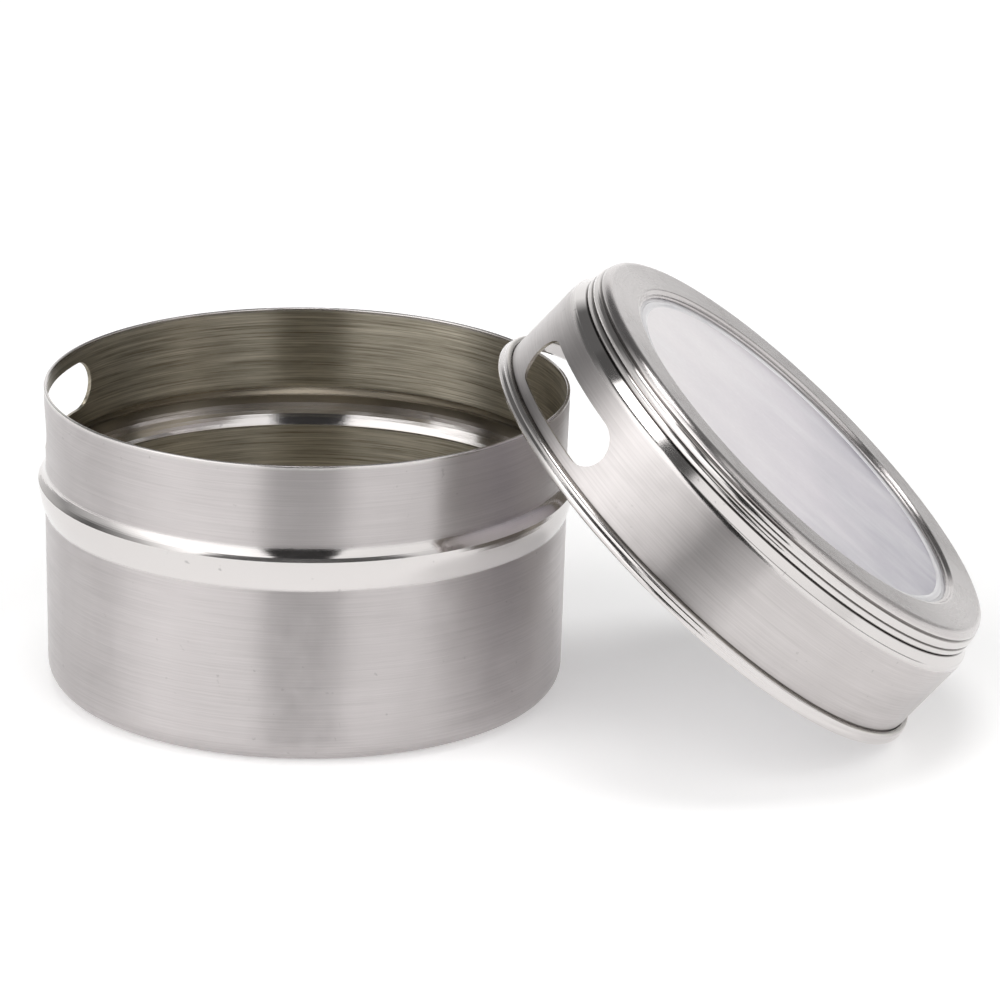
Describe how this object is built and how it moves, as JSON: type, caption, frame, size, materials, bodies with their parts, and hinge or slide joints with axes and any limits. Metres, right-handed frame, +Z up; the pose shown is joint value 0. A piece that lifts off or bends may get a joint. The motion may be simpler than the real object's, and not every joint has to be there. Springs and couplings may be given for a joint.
{
  "type": "spice tin",
  "caption": "Round stainless steel spice tin with a pouring slot in its neck and a press-on twist lid with a clear window, shown open with the lid leaning on the rim.",
  "frame": {"origin": "centre of the can's base, on the surface it stands on", "axes": "+Z up along the can's axis, +X from the can towards the leaning lid, -Y the side it is seen from"},
  "size_m": [0.1166, 0.0785, 0.0558],
  "materials": {
    "can_steel": "brushed",
    "lid_steel": "brushed",
    "ring_steel": "satin",
    "window_clear": "clear",
    "sealant_clear": "glossy",
    "magnet_dark": "matte",
    "adhesive_pale": "glossy"
  },
  "bodies": {
    "can": {"can_body": "can_steel", "base_magnet": "magnet_dark", "magnet_adhesive": "adhesive_pale"},
    "lid_window": {"window_pane": "window_clear", "window_sealant": "sealant_clear"},
    "lid": {"lid_skirt": "lid_steel", "lid_top_ring": "ring_steel"}
  },
  "joints": [
    {"name": "lid_swing", "type": "hinge", "parent": "can", "child": "lid_window", "pos_m": [-0.0209, -0.03528, -0.00843], "axis": [0.121, -0.8969, 0.4254], "range_deg": [0, 46.2]},
    {"name": "lid_twist", "type": "hinge", "parent": "lid_window", "child": "lid", "pos_m": [0.0487, -0.0113, 0.02232], "axis": [0.6632, -0.0301, 0.7478], "continuous": true}
  ]
}
